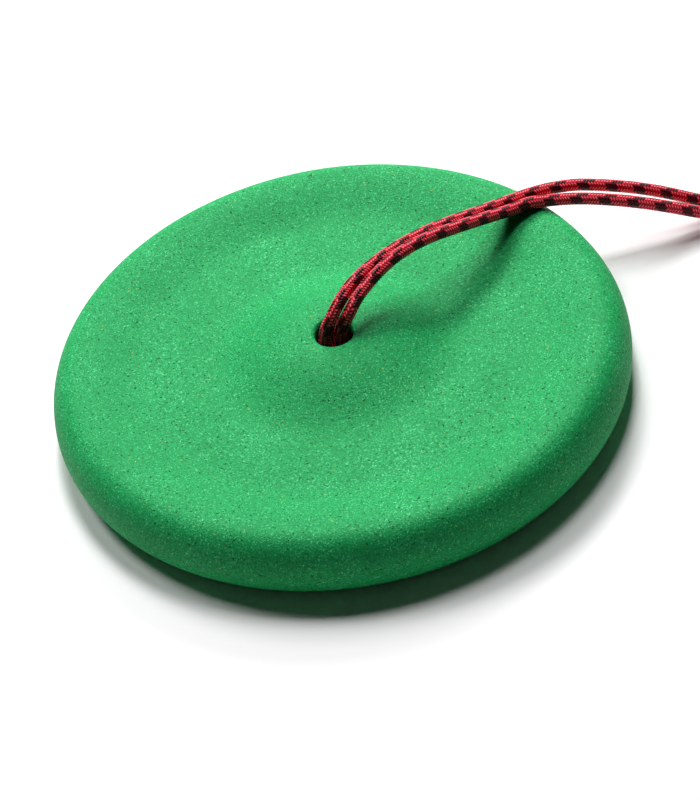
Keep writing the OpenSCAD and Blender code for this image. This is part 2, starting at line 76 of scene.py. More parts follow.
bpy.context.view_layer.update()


class Slot(Enum):
    """The record's material slots."""

    FOAM = "seat_foam"
    CORE = "core_plastic"
    ROPE = "red_braid"
    TWINE = "black_twine"
    WEBBING = "black_webbing"
    PLATED = "plated_steel"
    FORGED = "forged_steel"
    DARK = "dark_steel"
    WHEEL = "wheel_aluminium"
    BEARING = "bearing_steel"
    CAGE = "cage_polymer"
    INSERT = "insert_nylon"
    BRASS = "brass"


# ---- Materials -----------------------------------------------------------------------------


def linear(colour: str) -> tuple[float, float, float, float]:
    """Turns an sRGB hex colour into linear red, green, blue and alpha.

    Args:
        colour: Six hex digits after a hash.

    Returns:
        The linear colour with alpha 1.
    """
    srgb = np.array([int(colour[i : i + 2], 16) for i in (1, 3, 5)]) / 255
    value = np.where(srgb <= 0.04045, srgb / 12.92, ((srgb + 0.055) / 1.055) ** 2.4)
    return (*map(float, value), 1.0)


def add(tree: bpy.types.NodeTree, kind: str, inputs: dict | None = None, **settings) -> bpy.types.Node:
    """Adds a shader node with its settings, values and links.

    Args:
        tree: The node tree that gets it.
        kind: The node's type without its ShaderNode prefix.
        inputs: Socket name or number to a value, a socket, or a node whose first output is used.
        **settings: Properties of the node itself.

    Returns:
        The new node.
    """
    node = tree.nodes.new("ShaderNode" + kind)
    for name, value in settings.items():
        setattr(node, name, value)
    for key, value in (inputs or {}).items():
        if isinstance(value, bpy.types.Node):
            value = value.outputs[0]
        if isinstance(value, bpy.types.NodeSocket):
            tree.links.new(value, node.inputs[key])
        else:
            node.inputs[key].default_value = value
    return node


@dataclass(frozen=True)
class Finish:
    """A surface finish: what the thing is made of and how its surface was made."""

    name: str
    slot: Slot
    colour: str
    roughness: float
    metallic: float = 0.0
    ior: float = 1.5

    def material(self) -> bpy.types.Material:
        """Gives the finish's material, made the first time it is asked for."""
        known = bpy.data.materials.get(self.name)
        if known:
            return known
        material = bpy.data.materials.new(self.name)
        material.use_nodes = True
        tree = material.node_tree
        shader = tree.nodes["Principled BSDF"]
        shader.inputs["Base Color"].default_value = linear(self.colour)
        shader.inputs["Roughness"].default_value = self.roughness
        shader.inputs["Metallic"].default_value = self.metallic
        shader.inputs["IOR"].default_value = self.ior
        self.pattern(tree, shader)
        return material

    def pattern(self, tree: bpy.types.NodeTree, shader: bpy.types.Node) -> None:
        """Draws the finish's pattern into the tree, and links it to the shader."""

    def dress(self, piece: bpy.types.Object) -> None:
        """Puts the finish on a new piece or on a carried-over CAD node."""
        if "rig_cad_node" in piece:
            for slot in piece.material_slots:
                slot.material = self.material()
        else:
            piece.data.materials.clear()
            piece.data.materials.append(self.material())


@dataclass(frozen=True)
class FoamSkin(Finish):
    """Closed-cell foam in its mould skin: satin, finely grained, with small pits painted dark as shade."""

    deep: str = "#007439"
    bright: str = "#00b55f"
    # pale is a painted highlight on the grain tops, standing in for glints on the foam.
    pale: str = "#86eab6"
    # pit is painted shade: the colour that the pits darken to.
    pit_shade: str = "#03401c"
    speck: str = "#a8b04a"
    grain: float = 0.85 * MM
    cell: float = 2.1 * MM
    pit_size: float = 1.25 * MM

    def pattern(self, tree: bpy.types.NodeTree, shader: bpy.types.Node) -> None:
        """Draws grains, coarser cells, slow clouds and rare specks, with pale grain tops painted as
        highlights and pits painted dark as shade.

        The grain of the real skin is about 0.5 mm, and it is drawn at 0.85 mm to show.
        """
        place = add(tree, "TexCoord").outputs["Object"]
        fine = add(tree, "TexNoise", {"Vector": place, "Scale": 1 / self.grain, "Detail": 2.0,
                                      "Roughness": 0.7})
        coarse = add(tree, "TexNoise", {"Vector": place, "Scale": 1 / self.cell, "Detail": 1.0})
        cloud = add(tree, "TexNoise", {"Vector": place, "Scale": 1 / 0.035, "Detail": 2.0})
        grains = add(tree, "Math", {0: coarse, 1: 0.15, 2: fine}, operation="MULTIPLY_ADD")
        mixed = add(tree, "Math", {0: cloud, 1: 0.12, 2: grains}, operation="MULTIPLY_ADD")
        tone = add(tree, "MapRange", {0: mixed, 1: 0.40, 2: 0.86, 3: 0.0, 4: 1.0})
        base = add(tree, "Mix", {0: tone, 6: linear(self.deep), 7: linear(self.bright)}, data_type="RGBA")
        # Painted highlight: the grain tops turn pale, standing in for glints on the foam.
        grain_highlight = add(tree, "MapRange", {0: mixed, 1: 0.72, 2: 0.90, 3: 0.0, 4: 0.8})
        highlighted = add(tree, "Mix", {0: grain_highlight, 6: base.outputs[2], 7: linear(self.pale)}, data_type="RGBA")
        # Painted shade: the pits darken to the pit colour, and the bump sinks them.
        cells = add(tree, "TexNoise", {"Vector": place, "Scale": 1 / self.pit_size, "Detail": 1.0})
        pits = add(tree, "MapRange", {0: cells, 1: 0.34, 2: 0.27, 3: 0.0, 4: 1.0})
        pit_shaded = add(tree, "Mix", {0: pits, 6: highlighted.outputs[2], 7: linear(self.pit_shade)}, data_type="RGBA")
        rare = add(tree, "TexNoise", {"Vector": place, "Scale": 1 / (2.2 * MM), "Detail": 2.0})
        specks = add(tree, "MapRange", {0: rare, 1: 0.71, 2: 0.75, 3: 0.0, 4: 0.6})
        final = add(tree, "Mix", {0: specks, 6: pit_shaded.outputs[2], 7: linear(self.speck)}, data_type="RGBA")
        tree.links.new(final.outputs[2], shader.inputs["Base Color"])
        height = add(tree, "Math", {0: pits, 1: -0.7, 2: grains}, operation="MULTIPLY_ADD")
        bump = add(tree, "Bump", {"Height": height, "Strength": 0.8, "Distance": 0.45 * MM})
        tree.links.new(bump.outputs[0], shader.inputs["Normal"])
        shader.inputs["Specular IOR Level"].default_value = 0.22


@dataclass(frozen=True)
class BraidFinish(Finish):
    """Twenty polyester yarns braided two over two, with four of each hand black and the rest red.

    The rope map's first number is the turn round the rope and its second the length in leads,
    so a yarn of the one hand has a constant turn - leads, and one of the other turn + leads.
    The black yarns of the second hand start dark_side places on, which turns the solid black
    blocks, where both hands' black yarns cross, to one side of the rope.
    """

    black: str = "#14060a"
    # pale is the painted highlight colour of the yarn tops.
    pale: str = "#ffa8ae"
    yarns: int = 10
    dark_yarns: int = 4
    dark_side: int = 3

    def pattern(self, tree: bpy.types.NodeTree, shader: bpy.types.Node) -> None:
        """Works out which yarn lies on top at each point, its colour and its round back, with painted shade
        in the gaps between the yarns and a painted highlight on their tops.
        """
        n = float(self.yarns)
        uv = add(tree, "UVMap", uv_map="rope")
        s = add(tree, "VectorMath", {0: uv, 1: (n, -n, 0)}, operation="DOT_PRODUCT").outputs["Value"]
        t = add(tree, "VectorMath", {0: uv, 1: (n, n, 0)}, operation="DOT_PRODUCT").outputs["Value"]
        s_yarn = add(tree, "Math", {0: s}, operation="FLOOR")
        t_yarn = add(tree, "Math", {0: t}, operation="FLOOR")
        cell = add(tree, "Math", {0: s_yarn, 1: t_yarn}, operation="ADD")
        turn = add(tree, "Math", {0: cell, 1: 4.0}, operation="FLOORED_MODULO")
        s_top = add(tree, "Math", {0: turn, 1: 1.5}, operation="LESS_THAN")
        s_across = add(tree, "Math", {0: s}, operation="FRACT")
        t_across = add(tree, "Math", {0: t}, operation="FRACT")
        across = add(tree, "Mix", {0: s_top, 2: t_across, 3: s_across})
        s_sum = add(tree, "Math", {0: s_yarn, 1: t}, operation="ADD")
        s_along = add(tree, "Math", {0: s_sum, 1: 4.0}, operation="FLOORED_MODULO")
        t_sum = add(tree, "Math", {0: s, 1: t_yarn}, operation="ADD")
        t_wrap = add(tree, "Math", {0: t_sum, 1: 4.0}, operation="FLOORED_MODULO")
        t_along = add(tree, "Math", {0: t_wrap, 1: 2.0}, operation="SUBTRACT")
        along = add(tree, "Mix", {0: s_top, 2: t_along, 3: s_along})
        yarn = add(tree, "Mix", {0: s_top, 2: t_yarn, 3: s_yarn})
        side = add(tree, "Mix", {0: s_top, 2: float(self.dark_side), 3: 0.0})
        shifted = add(tree, "Math", {0: yarn, 1: side}, operation="ADD")
        group = add(tree, "Math", {0: shifted, 1: n}, operation="FLOORED_MODULO")
        black = add(tree, "Math", {0: group, 1: self.dark_yarns - 0.5}, operation="LESS_THAN")
        back = add(tree, "Math", {0: across, 1: math.pi}, operation="MULTIPLY")
        round_back = add(tree, "Math", {0: back}, operation="SINE")
        arch = add(tree, "Math", {0: along, 1: math.pi / 2}, operation="MULTIPLY")
        arched = add(tree, "Math", {0: arch}, operation="SINE")
        height = add(tree, "Math", {0: round_back, 1: arched}, operation="MULTIPLY")
        strands = add(tree, "Math", {0: across, 1: 10 * math.pi}, operation="MULTIPLY")
        fibres = add(tree, "Math", {0: strands}, operation="SINE")
        relief = add(tree, "Math", {0: fibres, 1: 0.06, 2: height}, operation="MULTIPLY_ADD")
        # Painted shade: the red darkens to #b80c26 down in the gaps between the yarns.
        light = add(tree, "Mix", {0: height, 6: linear("#b80c26"), 7: linear(self.colour)},
                    data_type="RGBA")
        # Painted highlight: the yarn tops turn pale pink.
        glint = add(tree, "MapRange", {0: height, 1: 0.66, 2: 1.0, 3: 0.0, 4: 0.8})
        red = add(tree, "Mix", {0: glint, 6: light.outputs[2], 7: linear(self.pale)}, data_type="RGBA")
        # The red yarn beneath shows between the black stitches, darkened to #6a0c1c as painted shade.
        teeth = add(tree, "MapRange", {0: height, 1: 0.25, 2: 0.6, 3: 0.0, 4: 1.0})
        black_with_gap_shade = add(tree, "Mix", {0: teeth, 6: linear("#6a0c1c"), 7: linear(self.black)},
                  data_type="RGBA")
        mixed = add(tree, "Mix", {0: black, 6: red.outputs[2], 7: black_with_gap_shade.outputs[2]}, data_type="RGBA")
        tree.links.new(mixed.outputs[2], shader.inputs["Base Color"])
        bump = add(tree, "Bump", {"Height": relief, "Strength": 0.6, "Distance": 0.35 * MM})
        tree.links.new(bump.outputs[0], shader.inputs["Normal"])
        shader.inputs["Specular IOR Level"].default_value = 0.2


@dataclass(frozen=True)
class RolledMetal(Finish):
    """Rolled or cast metal under a plating: faint cloudy patches, fine scratches and grain."""

    patch: float = 9 * MM
    scratch: float = 0.5 * MM
    uneven: float = 0.07

    def pattern(self, tree: bpy.types.NodeTree, shader: bpy.types.Node) -> None:
        """Clouds the roughness and the colour, and bumps long scratches along the piece.

        Real scratches are about 0.05 mm wide, and they are drawn at 0.5 mm to show.
        """
        place = add(tree, "TexCoord").outputs["Object"]
        cloud = add(tree, "TexNoise", {"Vector": place, "Scale": 1 / self.patch, "Detail": 4.0})
        rough = add(tree, "MapRange", {0: cloud, 1: 0.3, 2: 0.7, 3: self.roughness - self.uneven / 2,
                                       4: self.roughness + self.uneven})
        tree.links.new(rough.outputs[0], shader.inputs["Roughness"])
        dull = tuple(0.9 * c for c in linear(self.colour)[:3]) + (1.0,)
        tint = add(tree, "Mix", {0: cloud, 6: linear(self.colour), 7: dull}, data_type="RGBA")
        tree.links.new(tint.outputs[2], shader.inputs["Base Color"])
        stretched = add(tree, "Mapping", {0: place, 3: (0.06, 1.0, 1.0)})
        lines = add(tree, "TexNoise", {"Vector": stretched, "Scale": 1 / self.scratch, "Detail": 2.0})
        bump = add(tree, "Bump", {"Height": lines, "Strength": 0.12, "Distance": 0.05 * MM})
        tree.links.new(bump.outputs[0], shader.inputs["Normal"])


@dataclass(frozen=True)
class TurnedMetal(Finish):
    """Metal turned on a lathe about an upright axis, with its fine tool rings."""

    axes: tuple[tuple[float, float], ...] = ((0.0, 0.0),)
    ring: float = 0.6 * MM

    def pattern(self, tree: bpy.types.NodeTree, shader: bpy.types.Node) -> None:
        """Draws rings by the distance from the nearer axis, and light wear between them.

        Real tool rings are 0.1 mm apart, and they are drawn 0.6 mm apart to show.
        """
        place = add(tree, "TexCoord").outputs["Object"]
        nearest = None
        for x, y in self.axes:
            flat = add(tree, "VectorMath", {0: place, 1: (1, 1, 0)}, operation="MULTIPLY")
            away = add(tree, "VectorMath", {0: flat, 1: (x, y, 0)}, operation="DISTANCE").outputs["Value"]
            nearest = away if nearest is None else add(
                tree, "Math", {0: nearest, 1: away}, operation="MINIMUM").outputs[0]
        phase = add(tree, "Math", {0: nearest, 1: 2 * math.pi / self.ring}, operation="MULTIPLY")
        rings = add(tree, "Math", {0: phase}, operation="SINE")
        cloud = add(tree, "TexNoise", {"Vector": place, "Scale": 1 / (5 * MM), "Detail": 4.0})
        mixed = add(tree, "Math", {0: rings, 1: 0.15, 2: cloud}, operation="MULTIPLY_ADD")
        rough = add(tree, "MapRange", {0: mixed, 1: 0.2, 2: 0.8, 3: self.roughness * 0.75,
                                       4: self.roughness * 1.4})
        tree.links.new(rough.outputs[0], shader.inputs["Roughness"])
        dull = tuple(0.85 * c for c in linear(self.colour)[:3]) + (1.0,)
        tint = add(tree, "Mix", {0: cloud, 6: linear(self.colour), 7: dull}, data_type="RGBA")
        tree.links.new(tint.outputs[2], shader.inputs["Base Color"])
        bump = add(tree, "Bump", {"Height": rings, "Strength": 0.15, "Distance": 0.03 * MM})
        tree.links.new(bump.outputs[0], shader.inputs["Normal"])


@dataclass(frozen=True)
class MouldedPlastic(Finish):
    """Injection-moulded plastic with a fine spark-eroded grain."""

    grain: float = 0.8 * MM

    def pattern(self, tree: bpy.types.NodeTree, shader: bpy.types.Node) -> None:
        """Bumps a fine grain and varies the gloss a little, with grain drawn coarse to show."""
        place = add(tree, "TexCoord").outputs["Object"]
        grain = add(tree, "TexNoise", {"Vector": place, "Scale": 1 / self.grain, "Detail": 2.0})
        cloud = add(tree, "TexNoise", {"Vector": place, "Scale": 1 / 0.02, "Detail": 2.0})
        rough = add(tree, "MapRange", {0: cloud, 1: 0.3, 2: 0.7, 3: self.roughness - 0.06,
                                       4: self.roughness + 0.08})
        tree.links.new(rough.outputs[0], shader.inputs["Roughness"])
        pale = tuple(min(1.0, 1.25 * c) for c in linear(self.colour)[:3]) + (1.0,)
        tint = add(tree, "Mix", {0: grain, 6: linear(self.colour), 7: pale}, data_type="RGBA")
        tree.links.new(tint.outputs[2], shader.inputs["Base Color"])
        bump = add(tree, "Bump", {"Height": grain, "Strength": 0.2, "Distance": 0.1 * MM})
        tree.links.new(bump.outputs[0], shader.inputs["Normal"])


@dataclass(frozen=True)
class Woven(Finish):
    """Plain-woven or wound thread that follows the piece's own map, in threads each way."""

    across: float = 1.0
    along: float = 1.0

    def pattern(self, tree: bpy.types.NodeTree, shader: bpy.types.Node) -> None:
        """Draws over and under threads as a product of two sines, paints shade where a thread dips under and
        a highlight where it lies on top, and bumps them.
        """
        uv = add(tree, "UVMap", uv_map="rope")
        scaled = add(tree, "VectorMath",
                     {0: uv, 1: (math.pi * self.across, math.pi * self.along, 0)}, operation="MULTIPLY")
        waves = add(tree, "VectorMath", {0: scaled}, operation="SINE")
        parts = add(tree, "SeparateXYZ", {0: waves})
        weave = add(tree, "Math", {0: parts.outputs["X"], 1: parts.outputs["Y"]}, operation="MULTIPLY")
        tone = add(tree, "MapRange", {0: weave, 1: -1.0, 2: 1.0, 3: 0.0, 4: 1.0})
        # Painted shade and painted highlight: the thread darkens where it dips under and lightens where it
        # lies on top.
        dark = tuple(0.55 * c for c in linear(self.colour)[:3]) + (1.0,)
        pale = tuple(min(1.0, 1.7 * c) for c in linear(self.colour)[:3]) + (1.0,)
        tint = add(tree, "Mix", {0: tone, 6: dark, 7: pale}, data_type="RGBA")
        tree.links.new(tint.outputs[2], shader.inputs["Base Color"])
        bump = add(tree, "Bump", {"Height": weave, "Strength": 0.5, "Distance": 0.15 * MM})
        tree.links.new(bump.outputs[0], shader.inputs["Normal"])
        shader.inputs["Sheen Weight"].default_value = 0.2


# ---- Surfaces ------------------------------------------------------------------------------


def surface(name: str, points: np.ndarray, u: np.ndarray | None = None, v: np.ndarray | None = None,
            rows_meet: bool = False, columns_meet: bool = False, caps: bool = False) -> bpy.types.Object:
    """Makes a piece of the quads between the points of a grid.

    The quad at row i and column j joins points (i, j), (i, j+1), (i+1, j+1) and (i+1, j), and it
    faces the way that columns crossed with rows points.

    Args:
        name: The piece's name.
        points: Array of rows by columns by 3.
        u: Map numbers of the columns, with one more where the columns meet.
        v: Map numbers of the rows, with one more where the rows meet.
        rows_meet: Whether the last row joins the first.
        columns_meet: Whether the last column joins the first.
        caps: Whether the first and the last row are closed with a face.

    Returns:
        The piece, smooth shaded.
    """
    rows, columns = points.shape[:2]
    r, c = np.meshgrid(np.arange(rows if rows_meet else rows - 1),
                       np.arange(columns if columns_meet else columns - 1), indexing="ij")
    r, c = r.ravel(), c.ravel()
    r1, c1 = (r + 1) % rows, (c + 1) % columns
    quads = np.stack([r * columns + c, r * columns + c1, r1 * columns + c1, r1 * columns + c], axis=1)
    faces = quads.tolist()
    if caps:
        faces.append(list(range(columns - 1, -1, -1)))
        faces.append(list(range((rows - 1) * columns, rows * columns)))
    mesh = bpy.data.meshes.new(name)
    mesh.from_pydata(points.reshape(-1, 3).tolist(), [], faces)
    if u is not None and v is not None:
        layer = mesh.uv_layers.new(name="rope")
        us = np.stack([u[c], u[c + 1], u[c + 1], u[c]], axis=1)
        vs = np.stack([v[r], v[r], v[r + 1], v[r + 1]], axis=1)
        flat = np.zeros((len(mesh.loops), 2))
        flat[: 4 * len(quads)] = np.stack([us, vs], axis=2).reshape(-1, 2)
        layer.data.foreach_set("uv", flat.ravel())
    mesh.polygons.foreach_set("use_smooth", np.ones(len(mesh.polygons), dtype=bool))
    mesh.update()
    piece = bpy.data.objects.new(name, mesh)
    bpy.context.scene.collection.objects.link(piece)
    return piece


def joined(name: str, parts: list[bpy.types.Object]) -> bpy.types.Object:
    """Joins pieces into the first of them, and names it."""
    with bpy.context.temp_override(active_object=parts[0], selected_editable_objects=parts):
        bpy.ops.object.join()
    parts[0].name = parts[0].data.name = name
    return parts[0]


def along(path: np.ndarray) -> np.ndarray:
    """Gives the length of a path up to each of its points."""
    steps = np.linalg.norm(np.diff(path, axis=0), axis=1)
    return np.concatenate([[0.0], np.cumsum(steps)])


def smooth_path(points: np.ndarray, spacing: float) -> np.ndarray:
    """Draws a smooth curve through points and cuts it into equal steps.

    Between two points it is the cubic that has their places and, at each of them, the slope of
    the parabola through that point and its neighbours, over chord length.

    Args:
        points: Array of points by 3.
        spacing: Wanted distance between the new points.

    Returns:
        Array of new points by 3, the ends included.
    """
    t = along(points)
    slopes = np.gradient(points, t, axis=0, edge_order=2)
    s = np.linspace(0, t[-1], 20 * len(points) + 4000)
    i = np.clip(np.searchsorted(t, s, side="right") - 1, 0, len(t) - 2)
    h = (t[i + 1] - t[i])[:, None]
    w = ((s - t[i]) / (t[i + 1] - t[i]))[:, None]
    curve = ((2 * w**3 - 3 * w**2 + 1) * points[i] + (w**3 - 2 * w**2 + w) * h * slopes[i]
             + (3 * w**2 - 2 * w**3) * points[i + 1] + (w**3 - w**2) * h * slopes[i + 1])
    return even_steps(curve, spacing)


def even_steps(curve: np.ndarray, spacing: float) -> np.ndarray:
    """Cuts a curve into equal steps of about the given spacing."""
    lengths = along(curve)
    marks = np.linspace(0, lengths[-1], max(2, int(round(lengths[-1] / spacing)) + 1))
    return np.stack([np.interp(marks, lengths, curve[:, k]) for k in range(3)], axis=1)


def carried_frames(path: np.ndarray) -> tuple[np.ndarray, np.ndarray]:
    """Gives two normals at each point of a path that never spin about it.

    Each first normal is the one before it, less its part along the new tangent.

    Args:
        path: Array of points by 3.

    Returns:
        The first normals, and the tangents crossed with them.
    """
    tangents = np.gradient(path, axis=0)
    tangents /= np.linalg.norm(tangents, axis=1, keepdims=True)
    last = np.eye(3)[np.argmin(np.abs(tangents[0]))]
    first = np.empty_like(path)
    for i, tangent in enumerate(tangents):
        last = last - last.dot(tangent) * tangent
        last /= np.linalg.norm(last)
        first[i] = last
    return first, np.cross(tangents, first)


def swept(name: str, path: np.ndarray, radius: float | np.ndarray, sides: int,
          lead: float = 1.0, closed: bool = False) -> bpy.types.Object:
    """Carries a round section along a path.

    The point at row i and angle a is path[i] + radius * (cos a * first + sin a * second).

    Args:
        name: The piece's name.
        path: Array of points by 3.
        radius: One radius, or an array of rows by sides.
        sides: Points round the section.
        lead: Length that counts as one in the map's second number.
        closed: Whether the path's end meets its start.

    Returns:
        The tube.
    """
    first, second = carried_frames(path)
    angle = 2 * np.pi * np.arange(sides) / sides
    ring = np.cos(angle)[None, :, None] * first[:, None] + np.sin(angle)[None, :, None] * second[:, None]
    spread = np.broadcast_to(np.asarray(radius, dtype=float), (len(path), sides))
    points = path[:, None] + spread[:, :, None] * ring
    v = along(path) / lead
    return surface(name, points, np.arange(sides + 1) / sides, np.append(v, v[-1]),
                   rows_meet=closed, columns_meet=True, caps=not closed)


def turned(name: str, profile: np.ndarray, steps: int, centre: tuple[float, float] = (0.0, 0.0),
           closed: bool = True) -> bpy.types.Object:
    """Turns a profile of (radius, height) points about an upright axis.

    Args:
        name: The piece's name.
        profile: Array of points by 2, anticlockwise.
        steps: Points round the axis.
        centre: Where the axis stands.
        closed: Whether the profile's end meets its start.

    Returns:
        The turned piece.
    """
    angle = 2 * np.pi * np.arange(steps) / steps
    x = centre[0] + profile[:, :1] * np.cos(angle)
    y = centre[1] + profile[:, :1] * np.sin(angle)
    z = np.repeat(profile[:, 1:], steps, axis=1)
    return surface(name, np.stack([x, y, z], axis=2), rows_meet=closed, columns_meet=True)


def quarter(centre: tuple[float, float], rx: float, ry: float, a0: float, a1: float,
            steps: int) -> np.ndarray:
    """Gives points of an elliptical arc between two angles in degrees."""
    a = np.radians(np.linspace(a0, a1, steps))
    return np.stack([centre[0] + rx * np.cos(a), centre[1] + ry * np.sin(a)], axis=1)


def eased(start: tuple[float, float], end: tuple[float, float], steps: int) -> np.ndarray:
    """Gives points of a half cosine wave between two points, without the first."""
    t = np.linspace(0, 1, steps + 1)[1:]
    return np.stack([start[0] + (end[0] - start[0]) * t,
                     start[1] + (end[1] - start[1]) * (1 - np.cos(np.pi * t)) / 2], axis=1)


# ---- Finishes ------------------------------------------------------------------------------

FOAM = FoamSkin("moulded_foam_skin", Slot.FOAM, "#0d9a45", 0.66)
CORE = MouldedPlastic("moulded_black_plastic", Slot.CORE, "#2b2d2f", 0.5)
BRAID = BraidFinish("braided_polyester", Slot.ROPE, "#ff2040", 0.38)
TWINE = Woven("waxed_twine", Slot.TWINE, "#1d1d20", 0.5, across=6.0, along=900.0)
WEBBING = Woven("woven_webbing", Slot.WEBBING, "#202124", 0.75, across=14.0, along=60.0)
PLATED = RolledMetal("bright_zinc_plating", Slot.PLATED, "#b9bcc0", 0.42, metallic=1.0)
FORGED = RolledMetal("satin_zinc_on_forged_steel", Slot.FORGED, "#a2a5a8", 0.38, metallic=1.0, patch=5 * MM)
DARK = RolledMetal("dark_plated_steel", Slot.DARK, "#6a6d71", 0.34, metallic=1.0, patch=4 * MM)
GROUND = RolledMetal("ground_bearing_steel", Slot.BEARING, "#cdcfd2", 0.16, metallic=1.0, uneven=0.06)
NYLON = MouldedPlastic("natural_nylon", Slot.CAGE, "#b39b5e", 0.45)
INSERT = MouldedPlastic("blue_nylon", Slot.INSERT, "#2f6fb0", 0.4)
BRASS = RolledMetal("turned_brass", Slot.BRASS, "#c9b37a", 0.28, metallic=1.0)


# ---- Studio --------------------------------------------------------------------------------


@dataclass
class Studio:
    """The camera, the pale floor and the soft lights."""

    distance: float = 1.6
    elevation: float = 42.3
    roll: float = -11.3
    lens: float = 140.0
    aim: tuple[float, float, float] = (0.0, 0.0, 0.020)
    shift: tuple[float, float] = (0.0128, -0.0478)

    def camera(self) -> None:
        """Looks along +Y from above, with the camera turned about its own axis."""
        data = bpy.data.cameras.new("studio_camera")
        data.lens, data.sensor_width = self.lens, 36.0
        data.shift_x, data.shift_y = self.shift
        data.clip_start, data.clip_end = 0.05, 30.0
        camera = bpy.data.objects.new("studio_camera", data)
        e = math.radians(self.elevation)
        back = Vector((0.0, -math.cos(e), math.sin(e)))
        camera.location = Vector(self.aim) + self.distance * back
        camera.rotation_mode = "QUATERNION"
        turn = Quaternion((0.0, 0.0, 1.0), math.radians(self.roll))
        camera.rotation_quaternion = (-back).to_track_quat("-Z", "Y") @ turn
        bpy.context.scene.collection.objects.link(camera)
        bpy.context.scene.camera = camera

    def floor(self) -> None:
        """Lays a wide matt white floor just under the object."""
        half = 6.0
        grid = np.array([[[x, y, -0.1 * MM] for x in (-half, half)] for y in (-half, half)])
        floor = surface("studio_floor", grid)
        material = bpy.data.materials.new("matt_white_paper")
        material.use_nodes = True
        shader = material.node_tree.nodes["Principled BSDF"]
        shader.inputs["Base Color"].default_value = linear("#f6f6f6")
        shader.inputs["Roughness"].default_value = 0.9
        shader.inputs["Specular IOR Level"].default_value = 0.1
        floor.data.materials.append(material)

    def light(self, name: str, bearing: float, height: float, size: float, power: float) -> None:
        """Hangs a square soft light that faces the seat.

        Args:
            name: The light's name.
            bearing: Angle from +Y towards +X, in degrees.
            height: Angle above the floor, in degrees.
            size: Side of the square.
            power: Watts.
        """
        data = bpy.data.lights.new(name, "AREA")
        data.size, data.energy = size, power
        lamp = bpy.data.objects.new(name, data)
        b, h = math.radians(bearing), math.radians(height)
        place = 2.4 * Vector((math.sin(b) * math.cos(h), math.cos(b) * math.cos(h), math.sin(h)))
        lamp.location = place
        lamp.rotation_mode = "QUATERNION"
        lamp.rotation_quaternion = (-place).to_track_quat("-Z", "Y")
        bpy.context.scene.collection.objects.link(lamp)

    def lights(self) -> None:
        """Hangs soft lights behind the seat, so that its shadow falls to the front."""
        self.light("key_light", -4.0, 50.0, 0.6, 28.0)
        self.light("high_light", 14.0, 65.0, 0.6, 28.0)
        self.light("low_light", 11.0, 34.0, 0.6, 33.0)
        self.light("left_light", -43.0, 50.0, 0.6, 22.0)
        world = bpy.data.worlds.new("studio_room")
        world.use_nodes = True
        world.node_tree.nodes["Background"].inputs["Color"].default_value = linear("#f4f6f8")
        world.node_tree.nodes["Background"].inputs["Strength"].default_value = 0.02
        bpy.context.scene.world = world
        bpy.context.scene.view_settings.view_transform = "Standard"


# ---- Rope ----------------------------------------------------------------------------------


